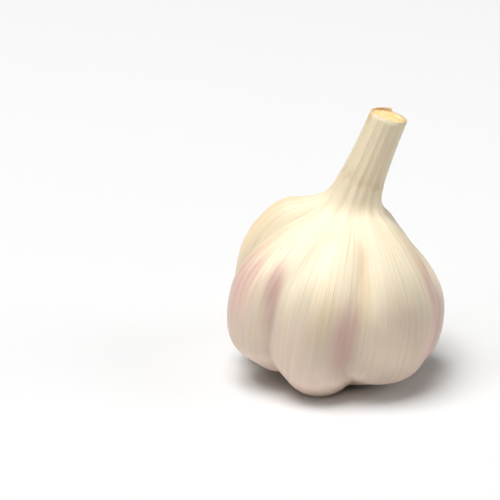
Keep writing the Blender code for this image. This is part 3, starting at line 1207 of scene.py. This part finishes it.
        # painted shade: darker in the valleys between cloves, with the painted shade and painted light
        # patches on top
        valley = self.form.valley_share(azimuth, station) ** self.painted_shading_narrowness
        valley = valley * window(station, self.painted_shading_zone)
        patch = self.patchy(self.painted_shading_patches, azimuth, station)
        add_number(mesh, "painted_shading", np.maximum(valley, patch) + np.minimum(patch, 0.0))
        scorch = self.patchy(self.scorches, azimuth, station)
        scorch[1 - len(self.rim) :] = self.inside_scorch
        add_number(mesh, "scorch", scorch, (0.0, self.inside_scorch))
        for name, patches in (("blush", self.blushes), ("warm", self.warm_patches)):
            add_number(mesh, name, self.patchy(patches, azimuth, station))

    def store_tear(self, mesh: Mesh, turns: Array, station: Array) -> None:
        """Store how far each point lies past the outermost skin's torn edge, and the edge's brown band,
        partly painted shade.

        Args:
            mesh: The skin's mesh.
            turns: Azimuths of the points in each ring.
            station: The points' stations, one row for each ring.
        """
        rough = rough_noise(turns, *self.tear_layers)
        past = station - (self.tear_station + self.tear_raggedness * rough)
        add_number(mesh, "past_tear", past, (-self.far_from_tear, self.far_from_tear))
        band = smooth_step(past, *self.tear_start) * (1 - smooth_step(past, *self.tear_end))
        patchy = np.clip(self.tear_middle + rough_noise(turns, self.tear_patches), 0.0, 1.0)
        add_number(mesh, "torn", self.tear_strength * band * patchy)

    def patchy(self, patches: tuple[Patch, ...], azimuth: Array, station: Array) -> Array:
        """Add up patches where they overlap.

        Args:
            patches: The patches.
            azimuth: Angles round the axis, in degrees.
            station: Stations along the outline, of the same shape.

        Returns:
            How strongly they colour the skin, kept within the strongest both ways.
        """
        total = np.zeros_like(azimuth)
        for patch in patches:
            across = window(turn_between(azimuth, patch.azimuth), (0.0, patch.width))
            total += patch.strength * across * window(station, (patch.station, patch.length))
        return np.clip(total, -self.strongest_patch, self.strongest_patch)

    def base_mesh(self) -> Mesh:
        """The smooth skin as a closed shell, with the attributes that its pattern needs.

        Returns:
            The mesh, before its fine relief.
        """
        form = self.form
        turns = turns_round(self.around)
        outer = self.stations()
        rings = self.upright_rings(turns, outer)
        mesh = self.shell(rings, form.outline[0][1], form.rim_height - self.socket_depth)
        over_rim = np.full(len(self.rim), form.last_station)
        azimuth, station = np.meshgrid(turns, np.concatenate([outer, over_rim]))
        add_number(mesh, "station", station, (0.0, form.last_station))
        self.store_fibres(mesh, rings, turns, outer)
        self.store_patches(mesh, azimuth, station)
        self.store_tear(mesh, turns, station)
        return mesh

    def relief_tree(self, material: Material, veins: LinePattern) -> GeometryWeb:
        """The tree that raises veins, wrinkles, neck fibres and the torn edge from the skin.

        Args:
            material: The skin's finish.
            veins: Where the veins run.

        Returns:
            The tree, with its heights in metres as named inputs.
        """
        web = GeometryWeb(
            "skin_relief",
            {
                "Vein Height": self.vein_height * MM,
                "Wrinkle Height": self.wrinkle_height * MM,
                "Fibre Height": self.fibre_height * MM,
                "Tear Height": self.tear_height * MM,
                "Seed": self.relief_seed,
            },
        )
        seed = web.size("Seed")
        fibre = web.attribute("fibre", "FLOAT_VECTOR")
        station = web.attribute("station")
        past = web.attribute("past_tear")

        belly = web.times(web.step(station, *self.belly_stations), web.attribute("girth"))
        vein = web.lines_round(fibre, veins, self.vein_reach)
        vein = web.times(vein, belly, web.size("Vein Height"))

        wave = web.math("SUBTRACT", web.noise(fibre, self.wrinkle_cells, seed=seed), NOISE_MIDDLE)
        wave = web.times(wave, web.size("Wrinkle Height"), web.times(belly, self.wrinkle_gain))

        thread = web.math("SUBTRACT", web.noise(fibre, self.fibre_cells, seed=seed), NOISE_MIDDLE)
        upper = web.times(web.step(station, *self.neck_stations), self.fibre_gain)
        thread = web.times(thread, upper, web.size("Fibre Height"))

        edge = web.times(web.step(past, *self.tear_rise), web.step(past, *self.tear_drop))
        edge = web.times(edge, web.size("Tear Height"))

        lift = web.plus(web.plus(vein, wave), web.plus(thread, edge))
        offset = web.scaled(web.made("GeometryNodeInputNormal"), lift)
        moved = {"Geometry": web.size("Geometry"), "Offset": offset}
        web.finish(web.made("GeometryNodeSetPosition", moved), material)
        return web

    def build(self, finish: PaperySkin) -> None:
        """Make the skin, raise its relief and dress it.

        Args:
            finish: The skin's finish, which also says where the veins run.
        """
        self.obj = new_object(self.name, self.base_mesh())
        self.relief_tree(finish.material(), finish.veins).grow_on(self.obj)
        keep_above_floor(self.obj.data)
        self.attach()


@dataclass
class CutStalk(Piece):
    """The flower stalk cut off in the neck: a closed plug with a fibrous, sunken end.

    The pith is given by radius and depth, each leaf ring by radius and height, and layers of noise
    by height, cells and seed. Scorch and shade shares are the rim's own brown and the shaded side's
    painted shade.
    """

    name: str = "cut_stalk"
    slot: Slot = Slot.STALK
    stands_for: str = "stalk"
    around: int = 160
    radius: float = 4.42
    depth: float = 3.6
    side_depths: tuple[float, ...] = (2.0, 1.0, 0.35)
    recess: float = 0.12
    face_rings: int = 36
    face_radii: Span = (4.4, 0.08)
    pith: Span = (1.5, 0.35)
    pith_floor: float = 0.3
    leaf_rings: tuple[Span, ...] = ((2.2, 0.12), (2.9, 0.16), (3.45, 0.2))
    leaf_ring_width: float = 0.28
    leaf_ring_wander: float = 0.16
    wander_cells: float = 1.5
    wander_seed: float = 7.0
    face_layers: tuple[Triple, ...] = ((0.10, 1.2, 41.0), (0.05, 4.0, 42.0))
    rim_radii: Span = (3.4, 4.4)
    rim_middle: float = 0.35
    rim_patches: Triple = (1.2, 2.0, 51.0)
    shaded_side: Span = (120.0, 70.0)
    shaded_radii: Span = (2.6, 4.2)
    scorch_and_shade_shares: Span = (0.6, 0.8)
    strongest_scorch: float = 0.9
    pith_scorch: float = 0.1

    def face_height(self, turns: Array, radius: float) -> Array:
        """Height of the cut end over its own level.

        Args:
            turns: Azimuths of the points.
            radius: Their distance from the axis.

        Returns:
            Millimetres for each azimuth.
        """
        pith_radius, pith_depth = self.pith
        sunk = 1 - smooth_step(radius, self.pith_floor, pith_radius)
        height = -pith_depth * sunk * np.ones_like(turns)
        for ring_radius, ring_height in self.leaf_rings:
            seed = ring_radius * self.wander_seed
            wander = self.leaf_ring_wander * round_noise(turns, self.wander_cells, seed)
            height += ring_height * window(radius - wander, (ring_radius, self.leaf_ring_width))
        return height + rough_noise(turns, *self.face_layers, radius=radius)

    def build(self, finish: StalkFlesh) -> None:
        """Make the plug with its cut end, and dress it.

        Args:
            finish: The flesh's finish.
        """
        form = self.form
        turns = turns_round(self.around)
        top = form.rim_height - self.recess
        depths = (self.depth, *self.side_depths)
        rings = [form.upright(turns, self.radius, top - depth) for depth in depths]
        radii = [self.radius] * len(depths)
        for radius in np.linspace(*self.face_radii, self.face_rings):
            rings.append(form.upright(turns, radius, top + self.face_height(turns, radius)))
            radii.append(radius)
        upright = np.array(rings)
        mesh = self.shell(upright, top - self.depth, top - self.pith[1])
        add_vector(mesh, "flesh", upright, (ORIGIN, ORIGIN))
        add_number(mesh, "scorch", self.scorch(turns, np.array(radii)), (0.0, self.pith_scorch))
        self.dress(mesh, finish.material())

    def scorch(self, turns: Array, radii: Array) -> Array:
        """How brown the plug is: its dried rim's own brown, and painted shade on its shaded side.

        Args:
            turns: Azimuths of the points in each ring.
            radii: Distance of each ring from the axis.

        Returns:
            A share for each point, one row for each ring.
        """
        radii = radii[:, None]
        brown = np.clip(self.rim_middle + rough_noise(turns, self.rim_patches), 0.0, 1.0)
        rim = smooth_step(radii, *self.rim_radii) * brown
        # painted shade: browner on the plug's shaded side
        side, reach = self.shaded_side
        behind = window(turn_between(turns, side), (0.0, reach))
        behind = behind * smooth_step(radii, *self.shaded_radii)
        at_rim, at_side = self.scorch_and_shade_shares
        return np.clip(at_rim * rim + at_side * behind, 0.0, self.strongest_scorch)


@dataclass
class RootPlate(Piece):
    """The corky plate that the roots grow from, seated up in the hollow.

    Layers of noise are given by height, cells and seed. Those of the lumps get finer outwards.
    """

    name: str = "root_plate"
    slot: Slot = Slot.ROOT
    around: int = 144
    radius: float = 9.3
    inset: float = 0.3
    thickness: float = 2.0
    gap: float = 0.4
    bulge: float = 0.2
    rings_below: int = 22
    rings_above: int = 8
    edge_layers: tuple[Triple, ...] = ((0.25, 3.0, 61.0), (0.15, 11.0, 62.0))
    edge_narrowness: int = 3
    lump_layers: tuple[Triple, ...] = ((0.22, 0.9, 63.0), (0.1, 2.6, 64.0))

    def hollow_height(self, radius: Array) -> Array:
        """Height of the root hollow's surface at a radius."""
        inner = np.array(self.form.outline[: self.form.hollow_points])
        return np.interp(radius, inner[:, 0], inner[:, 1])

    def underside(self, radius: float) -> float:
        """Height of the plate's underside, a shallow dome."""
        share = min(radius / self.radius, 1.0)
        return self.form.outline[0][1] - self.gap - self.thickness - self.bulge * (1 - share**2)

    def build(self, material: Material) -> None:
        """Make the plate with its lumpy underside, and dress it.

        Args:
            material: The roots' finish.
        """
        form = self.form
        turns = turns_round(self.around)
        ragged = rough_noise(turns, *self.edge_layers)
        rings = []
        for radius in np.linspace(self.inset, self.radius - self.inset, self.rings_below):
            lumps = rough_noise(turns, *self.lump_layers, radius=radius)
            spread = radius + ragged * (radius / self.radius) ** self.edge_narrowness
            rings.append(form.upright(turns, spread, self.underside(radius) + lumps))
        edge = (self.underside(self.radius) + self.hollow_height(self.radius) - self.gap) / 2
        rings.append(form.upright(turns, self.radius + ragged, edge))
        for radius in np.linspace(self.radius - self.inset, self.inset, self.rings_above):
            rings.append(form.upright(turns, radius, self.hollow_height(radius) - self.gap))
        upright = np.array(rings)
        mesh = self.shell(upright, self.underside(0.0), self.hollow_height(0.0) - self.gap)
        add_number(mesh, "tone", np.zeros(upright.shape[:2]))
        self.dress(mesh, material)


@dataclass
class RootTuft(Piece):
    """The dry roots: thin tapered wires that curl down and outwards from the plate.

    Radius, length and splay run from a root's base to its tip, from the shortest root to the
    longest, and from the middle of the tuft to its edge. Strays are longer and paler.
    """

    name: str = "root_tuft_wires"
    slot: Slot = Slot.ROOT
    stands_for: str = "root_tuft"
    plate: RootPlate = field(default_factory=RootPlate)
    count: int = 520
    seat_radius: float = 8.7
    seat_level_radius: float = 6.0
    radius: Span = (0.34, 0.14)
    length: Span = (4.2, 7.4)
    splay: Span = (0.15, 1.1)
    stray_share: float = 0.04
    stray_stretch: float = 1.9
    stray_tone: float = 1.5
    stray_seed: int = 19
    curl: float = 3.4
    curl_cells: float = 1.9
    curl_gain: float = 3.2
    curl_growth: float = 0.8
    cells_between_roots: float = 3.7
    sunk: float = 0.7
    outer_reach: float = 12.2
    least_radius: float = 0.01
    hollow_clearance: float = 0.8
    floor_clearance: float = 0.45
    path_points: int = 10
    sides: int = 4
    seed: int = 7

    def rooted_lines(self, web: GeometryWeb) -> Socket:
        """A line at each root's seat, with the root's seat, heading and number stored.

        Args:
            web: The tree.

        Returns:
            The lines, as real curves.
        """
        count = web.size("Count")
        index = web.made("GeometryNodeInputIndex")
        share = web.math("DIVIDE", web.plus(index, 0.5), count)
        away = web.times(web.math("SQRT", share), web.size("Seat Radius"))
        angle = web.times(index, GOLDEN_ANGLE)
        outward = web.xyz(web.math("COSINE", angle), web.math("SINE", angle))
        rise = web.xyz(0.0, 0.0, web.size("Seat Height"))
        seat = web.vector("ADD", web.scaled(outward, away), rise)
        aside = web.scaled(outward, web.between(share, *self.splay))
        heading = web.vector("NORMALIZE", web.vector("ADD", aside, DOWN), ORIGIN)
        points = web.made("GeometryNodePoints", {"Count": count, "Position": seat})
        points = web.stored(points, "seat", seat, "FLOAT_VECTOR")
        points = web.stored(points, "heading", heading, "FLOAT_VECTOR")
        points = web.stored(points, "number", index)
        ends = {"Start": ORIGIN, "End": (0.0, 0.0, -MM)}
        line = web.made("GeometryNodeCurvePrimitiveLine", ends)
        line = web.made("GeometryNodeResampleCurve", {"Curve": line, "Count": self.path_points})
        lines = web.made("GeometryNodeInstanceOnPoints", {"Points": points, "Instance": line})
        return web.made("GeometryNodeRealizeInstances", {"Geometry": lines})

    def curled(self, web: GeometryWeb, along: Socket, number: Socket, stray: Socket) -> Socket:
        """Where each point of a root lies: out along its heading and aside by its curl.

        Args:
            web: The tree.
            along: How far along its root the point is, from 0 to 1.
            number: The root's number.
            stray: 1 for a stray root, otherwise 0.

        Returns:
            The place in metres, in the bulb's upright frame.
        """
        seed = web.size("Seed")
        length = web.random(web.size("Shortest"), web.size("Longest"), number, seed)
        length = web.times(length, web.between(stray, 1.0, self.stray_stretch))
        way = web.scaled(web.attribute("heading", "FLOAT_VECTOR"), web.times(along, length))
        row = web.xyz(web.times(number, self.cells_between_roots))
        drift = web.xyz(0.0, web.times(along, self.curl_cells), seed)
        inputs = {"Vector": web.vector("ADD", row, drift), "Scale": 1.0, "Detail": 1.0}
        twist = web.add("ShaderNodeTexNoise", inputs, noise_dimensions="3D").outputs[1]
        twist = web.vector("SUBTRACT", twist, (NOISE_MIDDLE,) * 3)
        growth = web.math("POWER", along, self.curl_growth)
        twist = web.scaled(twist, web.times(growth, web.size("Curl"), self.curl_gain))
        base = web.attribute("seat", "FLOAT_VECTOR")
        return web.vector("ADD", web.vector("ADD", base, way), twist)

    def kept_in_hollow(self, web: GeometryWeb, place: Socket) -> Socket:
        """Keep a place within the tuft's reach and under the hollow's roof.

        The roof is made of two slants, through the outline's second, third and fourth point.

        Args:
            web: The tree.
            place: A place in the bulb's upright frame.

        Returns:
            The place, moved where it has to.
        """
        x, y, z = web.split(place)
        flat = web.xyz(x, y)
        radius = web.add("ShaderNodeVectorMath", {0: flat}, operation="LENGTH").outputs[1]
        radius = web.math("MAXIMUM", radius, self.least_radius * MM)
        shrink = web.math("MINIMUM", web.math("DIVIDE", self.outer_reach * MM, radius), 1.0)
        flat = web.scaled(flat, shrink)
        radius = web.math("MINIMUM", radius, self.outer_reach * MM)
        slants = []
        roof = self.form.outline[1:4]
        for (r1, z1, _), (r2, z2, _) in zip(roof, roof[1:]):
            slope = (z2 - z1) / (r2 - r1)
            slants.append(web.plus(web.times(radius, slope), (z1 - slope * r1) * MM))
        roof = web.math("SUBTRACT", web.math("MINIMUM", *slants), self.hollow_clearance * MM)
        return web.vector("ADD", flat, web.xyz(0.0, 0.0, web.math("MINIMUM", z, roof)))

    def kept_off_floor(self, web: GeometryWeb, wires: Socket) -> Socket:
        """Raise every point clear of the floor.

        Args:
            web: The tree.
            wires: The standing wires.

        Returns:
            The wires.
        """
        x, y, z = web.split(web.made("GeometryNodeInputPosition"))
        raised = web.xyz(x, y, web.math("MAXIMUM", z, self.floor_clearance * MM))
        return web.made("GeometryNodeSetPosition", {"Geometry": wires, "Position": raised})

    def tree(self, material: Material) -> GeometryWeb:
        """The tree that grows the roots. Its lengths are in metres, in the leaning bulb's frame.

        Args:
            material: The roots' finish.

        Returns:
            The tree, with its sizes as named inputs.
        """
        web = GeometryWeb(
            "root_growth",
            {
                "Count": self.count,
                "Seat Radius": self.seat_radius * MM,
                "Seat Height": (self.plate.underside(self.seat_level_radius) + self.sunk) * MM,
                "Shortest": self.length[0] * MM,
                "Longest": self.length[1] * MM,
                "Curl": self.curl * MM,
                "Seed": self.seed,
                "Lean": (0.0, math.radians(self.form.body_lean), 0.0),
                "Stand Place": tuple(float(v) * MM for v in self.form.stand_place()),
            },
        )
        wires = self.rooted_lines(web)
        along = web.made("GeometryNodeSplineParameter")
        number = web.attribute("number")
        pick = web.random(0.0, 1.0, number, self.stray_seed)
        stray = web.math("LESS_THAN", pick, self.stray_share)
        place = self.kept_in_hollow(web, self.curled(web, along, number, stray))
        wires = web.made("GeometryNodeSetPosition", {"Geometry": wires, "Position": place})
        lean, stand = web.size("Lean"), web.size("Stand Place")
        moved = {"Geometry": wires, "Rotation": lean, "Translation": stand}
        wires = self.kept_off_floor(web, web.made("GeometryNodeTransform", moved))
        tone = web.random(0.0, 1.0, number, web.size("Seed"))
        tone = web.math("MAXIMUM", tone, web.times(stray, self.stray_tone))
        wires = web.stored(wires, "tone", tone)
        thickness = web.between(along, self.radius[0] * MM, self.radius[1] * MM)
        section = web.made("GeometryNodeCurvePrimitiveCircle", {"Resolution": self.sides, "Radius": 1.0})
        tubes = {"Curve": wires, "Profile Curve": section, "Scale": thickness, "Fill Caps": True}
        web.finish(web.made("GeometryNodeCurveToMesh", tubes), material)
        return web

    def build(self, material: Material) -> None:
        """Grow the roots and dress them.

        Args:
            material: The roots' finish.
        """
        self.obj = new_object(self.name, bpy.data.meshes.new(self.name))
        self.tree(material).grow_on(self.obj)
        self.attach()


# Stage


@dataclass(frozen=True)
class Lamp:
    """A soft square lamp: where it stands round the bulb, its size in metres, power and colour."""

    name: str
    azimuth: float
    elevation: float
    distance: float
    size: float
    power: float
    colour: Triple = (1.0, 1.0, 1.0)

    def build(self, target: Triple) -> None:
        """Hang the lamp and turn it to the target.

        Args:
            target: The point that it shines at, in metres.
        """
        light = bpy.data.lights.new(self.name, "AREA")
        light.shape = "SQUARE"
        light.size = self.size
        light.energy = self.power
        light.color = self.colour
        lamp = new_object(self.name, light)
        turn, rise = math.radians(self.azimuth), math.radians(self.elevation)
        away = Vector((math.sin(turn) * math.cos(rise), -math.cos(turn) * math.cos(rise), math.sin(rise)))
        lamp.location = Vector(target) + away * self.distance
        lamp.rotation_euler = away.to_track_quat("Z", "Y").to_euler()


@dataclass(frozen=True)
class Studio:
    """Pale floor, soft light and the camera at the photograph's viewing angle.

    Lengths are in metres, apart from the millimetres that one pixel covers at the bulb's axis.
    Azimuths of lamps turn from the front, towards the right where they are positive.
    """

    elevation: float = 20.0
    distance: float = 0.5
    mm_per_pixel: float = 0.278
    image_size: float = 500.0
    axis_pixel: Span = (321.37, 371.42)
    sensor_width: float = 36.0
    nearest: float = 0.01
    floor_size: float = 8.0
    floor_colour: Triple = (0.74, 0.74, 0.74)
    floor_cells: float = 3.0
    floor_mottle: float = 0.99
    world_colour: Triple = (1.0, 1.0, 1.0)
    world_strength: float = 0.18
    lamp_target: Triple = (0.0, 0.0, 0.03)
    lamps: tuple[Lamp, ...] = (
        Lamp("top", -60.0, 74.0, 4.0, 2.6, 200.0),
        Lamp("left", -50.0, 20.0, 4.0, 2.0, 12.0),
        Lamp("right", 80.0, 30.0, 4.0, 2.0, 30.0),
    )

    def camera(self, form: BulbForm) -> None:
        """Set the camera so that the bulb's axis foot falls on its pixel of the photograph.

        Args:
            form: The bulb's form, which knows where its axis stands.
        """
        rise = math.radians(self.elevation)
        back = Vector((0.0, -math.cos(rise), math.sin(rise)))
        up = Vector((0.0, math.sin(rise), math.cos(rise)))
        right = Vector((1.0, 0.0, 0.0))
        pixel = self.mm_per_pixel * MM
        across, down = ((at - self.image_size / 2) * pixel for at in self.axis_pixel)
        foot = Vector([float(v) * MM for v in form.stand_place()])
        place = foot + back * self.distance - right * across + up * down
        data = bpy.data.cameras.new("camera")
        data.sensor_width = self.sensor_width
        data.lens = self.sensor_width * self.distance / (self.image_size * pixel)
        data.clip_start = self.nearest
        camera = new_object("camera", data)
        turn = Matrix((right, up, back)).transposed().to_4x4()
        camera.matrix_world = Matrix.Translation(place) @ turn
        bpy.context.scene.camera = camera

    def floor(self) -> None:
        """Lay a wide, plain pale floor.

        It is a stage of the scene and not a piece of the bulb.
        """
        half = self.floor_size / 2
        corners = [(-half, -half, 0.0), (half, -half, 0.0), (half, half, 0.0), (-half, half, 0.0)]
        mesh = bpy.data.meshes.new("floor")
        mesh.from_pydata(corners, [], [(0, 1, 2, 3)])
        web = FinishWeb("floor_card")
        cloud = web.noise(web.add("ShaderNodeTexCoord").outputs["Object"], self.floor_cells)
        shade = tuple(self.floor_mottle * v for v in self.floor_colour)
        web.colour(web.blend(cloud, self.floor_colour, shade))
        web.constants({"Roughness": 0.9, "Specular IOR Level": 0.1})
        mesh.materials.append(web.material)
        new_object("floor", mesh)

    def world(self) -> None:
        """Light the scene evenly from all round.

        It fills the shadows of the lamps.
        """
        world = bpy.data.worlds.new("world")
        world.use_nodes = True
        background = world.node_tree.nodes["Background"]
        background.inputs["Color"].default_value = (*self.world_colour, 1.0)
        background.inputs["Strength"].default_value = self.world_strength
        bpy.context.scene.world = world

    def build(self, form: BulbForm) -> None:
        """Set up the floor, the light and the camera.

        Args:
            form: The bulb's form, for the camera.
        """
        self.floor()
        self.world()
        for lamp in self.lamps:
            lamp.build(self.lamp_target)
        self.camera(form)
        bpy.context.scene.view_settings.view_transform = "Standard"


def main() -> None:
    """Build the pieces of the bulb in order, then the stage.

    Each piece reports itself in the log.
    """
    logging.basicConfig(level=logging.INFO, format="%(name)s: %(message)s")
    form = BulbForm()
    BulbSkin(form=form).build(PaperySkin())
    CutStalk(form=form).build(StalkFlesh())
    dry_root = DryRoot().material()
    plate = RootPlate(form=form)
    plate.build(dry_root)
    RootTuft(form=form, plate=plate).build(dry_root)
    Studio().build(form)


if __name__ == "__main__":
    main()
